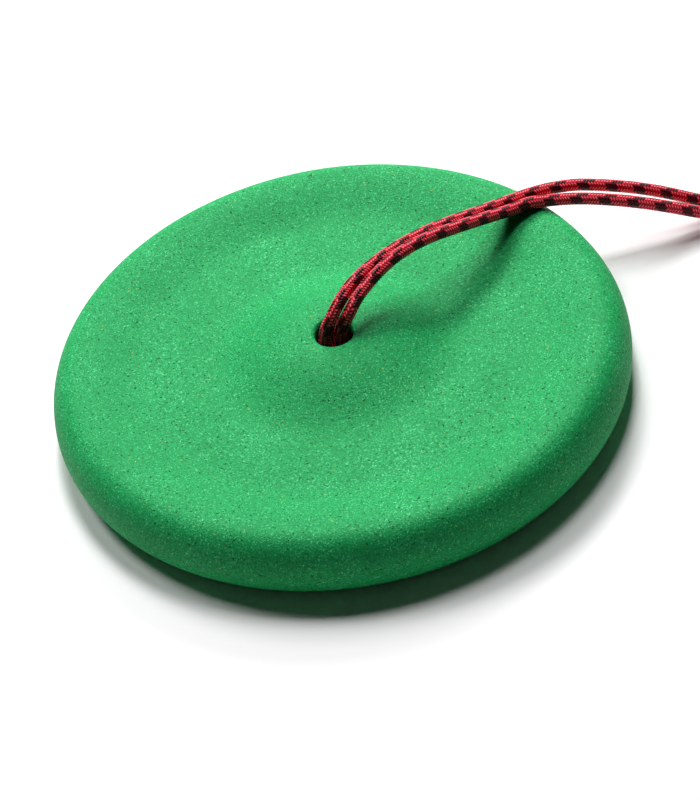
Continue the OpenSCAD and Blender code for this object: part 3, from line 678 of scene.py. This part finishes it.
@dataclass
class Rope:
    """The doubled braided rope from its knot to its eye, with its strap and whipping."""

    diameter: float = 6.5 * MM
    lead: float = 15.2 * MM
    yarns: int = 10
    relief: float = 0.38 * MM
    sides: int = 50
    fine: float = 0.34 * MM
    coarse: float = 1.0 * MM
    coil_centre: tuple[float, float] = (293.0 * MM, 99.5 * MM)
    coil_foot: float = 4.5 * MM
    coil_rise: float = 7.2 * MM
    coil_turns: float = 3.5
    radius_a: float = 39.4 * MM
    radius_b: float = 32.6 * MM
    eye_x: float = 329.0 * MM
    eye_y: float = 13.0 * MM
    eye_z: float = 20.3 * MM
    eye_radius: float = 16.75 * MM
    neck_half: float = 3.35 * MM
    neck_y: float = 37.5 * MM
    seizing: float = 12.0 * MM
    pieces: dict[str, bpy.types.Object] = field(default_factory=dict)

    # The strands' ways out of the knot, over the rim and down to the coil, in millimetres.
    WAY_A = (
        (-4, 0, 25.2), (-4, 0, 42), (0.8, 1.3, 50.5), (5, 4.5, 54.8), (11.2, 11, 57.8),
        (18.8, 17.4, 59.8), (28.5, 24.2, 61), (40.4, 31.8, 61.2), (53.6, 39.3, 60.2),
        (69.2, 49.4, 55.6), (86.7, 62, 48.2), (104.2, 74.7, 40.8), (121.8, 82, 37.5),
        (141.2, 83.8, 35.1), (157.2, 83.1, 31.2), (173.9, 82.5, 25.5), (190, 81.6, 18.5),
        (203.5, 80.8, 11.6), (218.4, 80, 5.6), (233, 78.9, 3.4), (243.3, 81.7, 3.4),
        (250.8, 89.2, 4), (253.3, 95.9, 4.4))
    WAY_B = (
        (4, 0, 25.2), (4, 0, 42), (8.2, -0.2, 49.5), (11, 1, 53.2), (15.8, 6, 56.3),
        (22.2, 11.6, 58.8), (30.5, 17.8, 61.4), (41.6, 25.2, 62.8), (54.4, 32.7, 61.8),
        (69.8, 42.6, 56.8), (87.3, 55.2, 48.8), (104.8, 67.3, 41), (113.5, 70.9, 39.9),
        (122.2, 73.3, 37.3), (140.8, 74.2, 33.5), (156.8, 72.5, 30), (173.1, 71.5, 24.5),
        (189, 70.4, 18.1), (202.5, 70.2, 11.6), (217.6, 70, 5.8), (233, 71.5, 3.4),
        (246.7, 75.8, 3.6), (256.7, 85.8, 4.2))
    TAIL_A = ((332.4, 88, 29.5), (332, 78, 28), (331.2, 68, 24.4), (330, 59, 20.2))
    TAIL_B = ((325.6, 88, 29.7), (326, 78, 29.6), (327, 68, 28.3), (328.3, 59, 25.8))

    def coil(self, radius: float) -> np.ndarray:
        """Winds the coil's turns clockwise from its left side, rising evenly."""
        turn = np.linspace(0, self.coil_turns, int(36 * self.coil_turns) + 1)
        a = np.pi - 2 * np.pi * turn
        return np.stack([self.coil_centre[0] + radius * np.cos(a),
                         self.coil_centre[1] + radius * np.sin(a),
                         self.coil_foot + self.coil_rise * turn], axis=1)

    def loop(self) -> np.ndarray:
        """Goes round the thimble from the lower strand to the upper one."""
        a = np.radians(np.linspace(126, -126, 29))
        return np.stack([np.full_like(a, self.eye_x), self.eye_y - self.eye_radius * np.cos(a),
                         self.eye_z - self.eye_radius * np.sin(a)], axis=1)

    def neck(self, side: float) -> np.ndarray:
        """Gives the two ends of a strand's stretch in the whipping."""
        z = self.eye_z + side * self.neck_half
        return np.array([[self.eye_x, self.neck_y + self.seizing, z], [self.eye_x, self.neck_y, z]])

    def braided(self, name: str, path: np.ndarray) -> bpy.types.Object:
        """Sweeps the rope along a path, with every yarn standing out of its surface.

        With s = yarns * (turn - leads) and t = yarns * (turn + leads), a yarn of the first hand
        lies on top where floor(s) + floor(t) is 0 or 1 of every 4. Its height is the sine across
        it times the sine along its two-cell float.
        """
        turn = np.arange(self.sides)[None, :] / self.sides
        leads = along(path)[:, None] / self.lead
        s, t = self.yarns * (turn - leads), self.yarns * (turn + leads)
        first = np.mod(np.floor(s) + np.floor(t), 4) < 1.5
        across = np.where(first, s - np.floor(s), t - np.floor(t))
        run = np.where(first, np.mod(np.floor(s) + t, 4), np.mod(s + np.floor(t), 4) - 2)
        height = np.sin(np.pi * across) * (0.5 + 0.5 * np.sin(np.pi / 2 * run))
        radius = self.diameter / 2 + self.relief * (height - 0.6)
        return swept(name, path, radius, self.sides, lead=self.lead)

    def strand(self, name: str, way: tuple, rest: list[np.ndarray], nodes: tuple[str, ...]) -> None:
        """Args:
            name: The piece's name.
            way: The route from the knot to the coil, in millimetres.
            rest: The coil and what follows it, in metres.
            nodes: The CAD nodes that the strand stands for.
        """
        way_m = np.array(way, dtype=float) * MM
        smooth = smooth_path(np.concatenate([way_m, *rest]), 0.2 * MM)
        seen = int(0.34 / (0.2 * MM))
        path = np.concatenate([even_steps(smooth[: seen + 1], self.fine),
                               even_steps(smooth[seen:], self.coarse)[1:]])
        piece = self.braided(name, path)
        BRAID.dress(piece)
        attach(piece, "rope")
        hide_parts(*nodes)

    def strands(self) -> None:
        """Makes both strands. The left one goes on round the eye and meets the right one."""
        neck_a, neck_b = self.neck(-1.0), self.neck(1.0)
        tail_a, tail_b = np.array(self.TAIL_A) * MM, np.array(self.TAIL_B) * MM
        self.strand("rope_left_strand", self.WAY_A,
                    [self.coil(self.radius_a), tail_a, neck_a, self.loop(), neck_b[1:]],
                    ("rope_strand_a", "rope_coil", "rope_eye"))
        self.strand("rope_right_strand", self.WAY_B,
                    [self.coil(self.radius_b), tail_b, neck_b], ("rope_strand_b",))

    def stopper(self) -> None:
        """Winds the stopper knot: three and a half wraps round the ends of both strands."""
        low, high, r = 4.9 * MM, 21.8 * MM, 11.6 * MM
        t = np.linspace(0, 1, 110)
        a = 2 * np.pi * 2.5 * t
        wraps = np.stack([r * np.cos(a), r * np.sin(a), high + (low - high) * t], axis=1)
        tucked = np.array([[3.5, -2.5, 20.5], [8.2, -5.2, 21.6]]) * MM
        ends = np.array([[-8.6, -4.8, 5.0], [-3.6, -3.4, 6.4]]) * MM
        path = smooth_path(np.concatenate([tucked, wraps, ends]), 0.9 * MM)
        parts = [self.braided("wraps", path)]
        for side in (-1, 1):
            core = np.array([[side * 4.0, 0, 25.15], [side * 3.7, 0, 15], [side * 3.6, 0, 2.6]]) * MM
            parts.append(self.braided(f"core_{side}", smooth_path(core, 0.9 * MM)))
        knot = joined("stopper_knot_wraps", parts)
        BRAID.dress(knot)
        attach(knot, "rope")
        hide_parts("stopper_knot")
        self.pieces["stopper"] = knot
        log.info("stopper knot: %d faces", len(knot.data.polygons))

    def strap(self) -> None:
        """Bends a webbing strap round the coil's section, with rounded corners."""
        low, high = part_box("coil_tie")
        inner = (self.coil_centre[0], self.coil_centre[1])
        r_in, r_out = 29.35 * MM - 0.7 * MM, 42.65 * MM + 0.7 * MM
        z_low, z_high = low[2] + 0.5 * MM, high[2] - 0.5 * MM
        corner = 3.0 * MM
        loop = np.concatenate([
            quarter((r_out - corner, z_low + corner), corner, corner, -90, 0, 7),
            quarter((r_out - corner, z_high - corner), corner, corner, 0, 90, 7),
            quarter((r_in + corner, z_high - corner), corner, corner, 90, 180, 7),
            quarter((r_in + corner, z_low + corner), corner, corner, 180, 270, 7)])
        angle = np.radians(60 + np.linspace(0.0, 31.83, 15))
        x = inner[0] + loop[:, :1] * np.cos(angle)
        y = inner[1] + loop[:, :1] * np.sin(angle)
        z = np.repeat(loop[:, 1:], len(angle), axis=1)
        points = np.stack([x, y, z], axis=2)
        v = np.arange(len(loop) + 1) / len(loop)
        strap = surface("coil_strap", points, np.linspace(0, 1, len(angle)), v, rows_meet=True)
        wall = strap.modifiers.new("thickness", "SOLIDIFY")
        wall.thickness, wall.offset = 0.9 * MM, 0.0
        WEBBING.dress(strap)
        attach(strap, "rope")
        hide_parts("coil_tie")
        self.pieces["coil_strap"] = strap
        log.info("coil strap: %d faces", len(strap.data.polygons))

    def whipping(self) -> None:
        """Winds twine round both strands at the eye's neck, turn beside turn.

        One turn follows two half circles and two straights, and it moves one twine along.
        """
        twine, half = 1.25 * MM, self.diameter / 2 + 0.85 * MM
        turns = int(self.seizing / twine) - 1
        steps = 40
        a = np.linspace(0, 2 * np.pi * turns, turns * steps + 1)
        lift = np.clip(3 * np.sin(a), -1, 1) * self.neck_half
        y = self.neck_y + self.seizing / 2 + twine * turns * (0.5 - a / a[-1])
        path = np.stack([self.eye_x + half * np.cos(a), y, self.eye_z + lift + half * np.sin(a)], axis=1)
        whipping = swept("eye_whipping", path, twine / 2, 8)
        TWINE.dress(whipping)
        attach(whipping, "rope")
        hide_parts("eye_seizing")
        self.pieces["eye_whipping"] = whipping
        log.info("whipping: %d turns of twine", turns)

    def build(self) -> None:
        """Makes the small pieces first, then the strands."""
        self.pieces["rope_thimble"] = frame["nodes"]["eye_thimble"]
        PLATED.dress(frame["nodes"]["eye_thimble"])
        self.stopper()
        self.strap()
        self.whipping()
        self.strands()


# ---- Seat ----------------------------------------------------------------------------------


@dataclass
class Seat:
    """The moulded foam disc, its plastic core and the washer that the knot pulls on."""

    radius: float = 150.0 * MM
    edge_h: float = 16.0 * MM
    rim_h: float = 35.5 * MM
    crown_in: float = 15.0 * MM
    sole_in: float = 16.0 * MM
    dish: tuple[float, float] = (96.0 * MM, 28.5 * MM)
    mound_foot: float = 68.0 * MM
    mound_top: tuple[float, float] = (16.0 * MM, 41.5 * MM)
    hole: float = 10.0 * MM
    lip: float = 3.0 * MM
    steps: int = 360

    def profile(self) -> np.ndarray:
        """Goes round the foam's section: sole, side, crown, dish, mound, lip, hole and pocket."""
        crown = (self.radius - self.crown_in, self.rim_h)
        cup, hub = 35.1 * MM, 33.1 * MM
        flange, f_low, f_high = 118.1 * MM, 8.9 * MM, 14.1 * MM
        straight = np.stack([np.linspace(self.dish[0], self.mound_foot, 6)[1:],
                             np.full(5, self.dish[1])], axis=1)
        return np.concatenate([
            [[cup, 0.0]],
            quarter((self.radius - self.sole_in, self.edge_h), self.sole_in, self.edge_h, -90, 0, 16),
            quarter((self.radius - self.crown_in, self.edge_h), self.crown_in,
                    self.rim_h - self.edge_h, 0, 90, 24)[1:],
            eased(crown, self.dish, 24),
            straight,
            eased((self.mound_foot, self.dish[1]), self.mound_top, 30),
            quarter((self.hole + self.lip, self.mound_top[1] - self.lip), self.lip, self.lip, 90, 180, 8),
            [[self.hole, hub], [cup, hub], [cup, f_high], [flange, f_high], [flange, f_low],
             [cup, f_low]],
        ])

    def foam(self) -> None:
        """Turns the foam, and lets its moulded faces swell and sink by a fraction of a millimetre."""
        foam = turned("seat_foam_body", self.profile(), self.steps)
        count = len(foam.data.vertices)
        places = np.empty(count * 3)
        foam.data.vertices.foreach_get("co", places)
        places = places.reshape(-1, 3)
        out = np.hypot(places[:, 0], places[:, 1])
        angle = np.arctan2(places[:, 1], places[:, 0])
        swell = (np.sin(3 * angle + 0.7) * np.sin(out / 0.031) + 0.6 * np.sin(5 * angle - 1.9 + out / 0.02)
                 + 0.4 * np.cos(7 * angle + 2.3))
        free = np.clip((places[:, 2] - 0.016) / 0.012, 0, 1) * np.clip((out - 0.02) / 0.02, 0, 1)
        places[:, 2] += 0.14 * MM * swell * free
        foam.data.vertices.foreach_set("co", places.ravel())
        foam.data.update()
        FOAM.dress(foam)
        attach(foam, "seat")
        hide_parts("seat_foam")
        log.info("seat foam: %d faces", len(foam.data.polygons))

    def build(self) -> None:
        """Makes the foam and dresses the core and the washer."""
        self.foam()
        CORE.dress(frame["nodes"]["seat_core"])
        PLATED.dress(frame["nodes"]["load_washer"])


# ---- Carabiner -----------------------------------------------------------------------------


@dataclass
class Carabiner:
    """The forged pear-shaped bar with its gate and the knurled locking sleeve."""

    bar: float = 10.0 * MM
    narrow: float = 13.5 * MM
    wide: float = 22.0 * MM
    reach: float = 62.0 * MM
    pin_a: float = 6.0 * MM
    tongue: tuple[float, float, float] = (8.0 * MM, 6.0 * MM, 5.0 * MM)
    nose: float = 6.0 * MM
    height: float = 17.9 * MM
    sleeve_from: float = 22.0 * MM
    sleeve_bore: float = 5.2 * MM
    sleeve_outer: float = 7.2 * MM
    knurl_depth: float = 0.42 * MM
    knurl_teeth: int = 36

    def __post_init__(self) -> None:
        """Works out where the gate's line lies."""
        low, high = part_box("hanger_sleeve")
        self.origin = np.array([(low[0] + high[0]) / 2, (low[1] + high[1]) / 2, self.height])
        self.lean = math.asin((self.wide - self.narrow) / self.reach)
        self.side = self.reach * math.cos(self.lean)
        self.out = np.array([math.cos(self.lean), -math.sin(self.lean), 0.0])
        self.up = np.array([math.sin(self.lean), math.cos(self.lean), 0.0])

    def on_line(self, a: float) -> np.ndarray:
        """Gives a point on the gate's line, a from its narrow end."""
        return self.origin + self.narrow * self.out + a * self.up

    def arc(self, centre: float, radius: float, a0: float, a1: float, steps: int) -> np.ndarray:
        """Gives points of a flat arc about a centre on the carabiner's axis."""
        a = np.radians(np.linspace(a0, a1, steps))
        return self.origin + np.stack([radius * np.cos(a), centre + radius * np.sin(a), 0 * a], axis=1)

    def block(self, name: str, centre: np.ndarray, half: tuple[float, float, float],
              power: float = 6.0) -> bpy.types.Object:
        """Makes a rounded block along the gate's line, for a tongue.

        Each ring is a superellipse that shrinks towards both faces.

        Args:
            name: The block's name.
            centre: Its middle.
            half: Half its width, its length along the gate's line and its thickness.
            power: The superellipse's power: 2 is round, and more is squarer.

        Returns:
            The block.
        """
        a = np.linspace(0, 2 * np.pi, 48, endpoint=False)
        c, s = np.cos(a), np.sin(a)
        x = half[0] * np.sign(c) * np.abs(c) ** (2 / power)
        y = half[1] * np.sign(s) * np.abs(s) ** (2 / power)
        rows = [(0.86, -1.0), (0.96, -0.93), (1.0, -0.75), (1.0, 0.75), (0.96, 0.93), (0.86, 1.0)]
        points = np.array([centre + shrink * (x[:, None] * self.out + y[:, None] * self.up)
                           + np.array([0, 0, level * half[2]]) for shrink, level in rows])
        return surface(name, points, columns_meet=True, caps=True)

    def body(self) -> None:
        """Sweeps the bar from the hinge round both ends to the nose, and adds its tongues."""
        lean = math.degrees(self.lean)
        start = self.on_line(1.0 * MM)
        end = self.on_line(self.side - self.nose)
        path = np.concatenate([
            [start], self.arc(0, self.narrow, -lean, -180 + lean, 60),
            self.arc(self.reach, self.wide, 180 + lean, -lean, 90), [end]])
        path = even_steps(path, 1.2 * MM)
        inset = np.minimum(along(path), along(path)[-1] - along(path))
        ends = 1 - 0.10 * np.clip(1 - inset / (1.5 * MM), 0, 1) ** 2
        bar = swept("bar", path, (self.bar / 2 * ends)[:, None], 40)
        half = (self.tongue[0] / 2, self.pin_a / 2, self.tongue[2] / 2)
        hinge = self.block("hinge", self.on_line(half[1]), half)
        knuckle = self.block("knuckle", self.on_line(self.pin_a), (half[0], half[0], half[2]), 2.0)
        tip = self.side - self.nose
        nose = self.block("nose_tongue", self.on_line(tip - 2.0 * MM), (half[0], 3.0 * MM, half[2]))
        body = joined("carabiner_bar", [bar, hinge, knuckle, nose])
        FORGED.dress(body)
        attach(body, "carabiner")
        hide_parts("carabiner_body")
        log.info("carabiner bar: %d faces", len(body.data.polygons))

    def sleeve(self) -> None:
        """Turns the locking sleeve about the gate's line, with crossed knurling round its middle.

        The knurl's depth is the larger of two triangle waves, one along each crossing line.
        """
        outer, teeth = self.sleeve_outer, self.knurl_teeth
        steps = 8 * teeth
        angle = 2 * np.pi * np.arange(steps) / steps
        lower, upper = [0, 0, 0.5, 1.5, 2.5, 2.9], [21.1, 21.5, 22.5, 23.5, 24, 24]
        y = np.concatenate([lower, np.linspace(3.0, 21.0, 110), upper]) * MM
        edge = np.full(len(y), outer)
        edge[[0, -1]] = self.sleeve_bore
        edge[[1, -2]] = outer - 0.5 * MM
        edge[[5, -6]] = outer - 0.45 * MM
        pitch = 2 * np.pi * outer / teeth
        wave = np.stack([np.abs(2 * np.mod(teeth * angle / (2 * np.pi) + side * y[:, None] / pitch, 1) - 1)
                         for side in (-1, 1)]).max(axis=0)
        knurled = ((y > 3.0 * MM) & (y < 21.0 * MM))[:, None]
        groove = self.knurl_depth * np.clip(1.6 * wave - 0.6, 0, 1)
        radius = edge[:, None] - np.where(knurled, groove, 0)
        ring = np.cos(angle)[None, :, None] * self.out + np.sin(angle)[None, :, None] * np.array([0, 0, 1.0])
        middle = self.on_line(0)[None, None] + (self.sleeve_from + y)[:, None, None] * self.up
        points = middle + radius[:, :, None] * ring
        sleeve = surface("knurled_sleeve", points[:, ::-1], rows_meet=True, columns_meet=True)
        DARK.dress(sleeve)
        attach(sleeve, "locking_sleeve")
        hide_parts("locking_sleeve")
        log.info("locking sleeve: %d faces", len(sleeve.data.polygons))

    def spring(self) -> None:
        """Winds the gate's spring of round wire."""
        wire, radius, turns, length = 0.5 * MM, 1.55 * MM, 7, 10.5 * MM
        first = self.pin_a + 9.55 * MM
        a = np.linspace(0, 2 * np.pi * turns, turns * 28 + 1)
        path = (self.on_line(0) + (first + length * a / a[-1])[:, None] * self.up
                + radius * (np.cos(a)[:, None] * self.out + np.sin(a)[:, None] * np.array([0, 0, 1.0])))
        spring = swept("gate_spring_wire", path, wire / 2, 10)
        GROUND.dress(spring)
        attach(spring, "gate")
        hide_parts("gate_spring")
        log.info("gate spring: %d faces", len(spring.data.polygons))

    def build(self) -> None:
        """Makes the bar, the sleeve and the spring, and dresses the gate's pieces."""
        self.body()
        self.sleeve()
        self.spring()
        for node, finish in (("carabiner_gate", FORGED), ("gate_pin", PLATED), ("gate_plunger", BRASS)):
            finish.dress(frame["nodes"][node])


# ---- Trolley -------------------------------------------------------------------------------


@dataclass
class Trolley:
    """The two side plates, what bolts them together, and the two wheels on ball bearings."""

    FINISHES = {
        "lower_side_plate": PLATED, "upper_side_plate": PLATED, "bolts": PLATED, "washers": PLATED,
        "lock_nuts": PLATED, "nut_inserts": INSERT, "hanger_sleeve": PLATED, "keeper_sleeve": PLATED,
        "axle_spacers": PLATED, "inner_races": GROUND}

    def wheels(self) -> None:
        """Dresses each wheel with tool rings about its own axle, and its bearings."""
        for side in ("front", "rear"):
            low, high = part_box(f"{side}_wheel")
            axle = ((low[0] + high[0]) / 2, (low[1] + high[1]) / 2)
            TurnedMetal(f"turned_aluminium_{side}", Slot.WHEEL, "#c3c7cb", 0.3, metallic=1.0,
                        axes=(axle,)).dress(frame["nodes"][f"{side}_wheel"])
            TurnedMetal(f"pressed_shield_{side}", Slot.PLATED, "#b4b8bc", 0.35, metallic=1.0,
                        axes=(axle,)).dress(frame["nodes"][f"{side}_shields"])
            GROUND.dress(frame["nodes"][f"{side}_outer_races"])
            GROUND.dress(frame["nodes"][f"{side}_balls"])
            NYLON.dress(frame["nodes"][f"{side}_cages"])

    def build(self) -> None:
        """Dresses the frame's pieces and the wheels."""
        for node, finish in self.FINISHES.items():
            finish.dress(frame["nodes"][node])
        self.wheels()
        log.info("trolley: %d pieces dressed", len(self.FINISHES) + 10)


def main() -> None:
    """Builds the studio and the rope first, then the rest."""
    logging.basicConfig(level=logging.INFO, format="%(name)s: %(message)s")
    studio = Studio()
    studio.camera()
    Rope().build()
    Seat().build()
    Carabiner().build()
    Trolley().build()
    studio.floor()
    studio.lights()


if __name__ == "__main__":
    main()
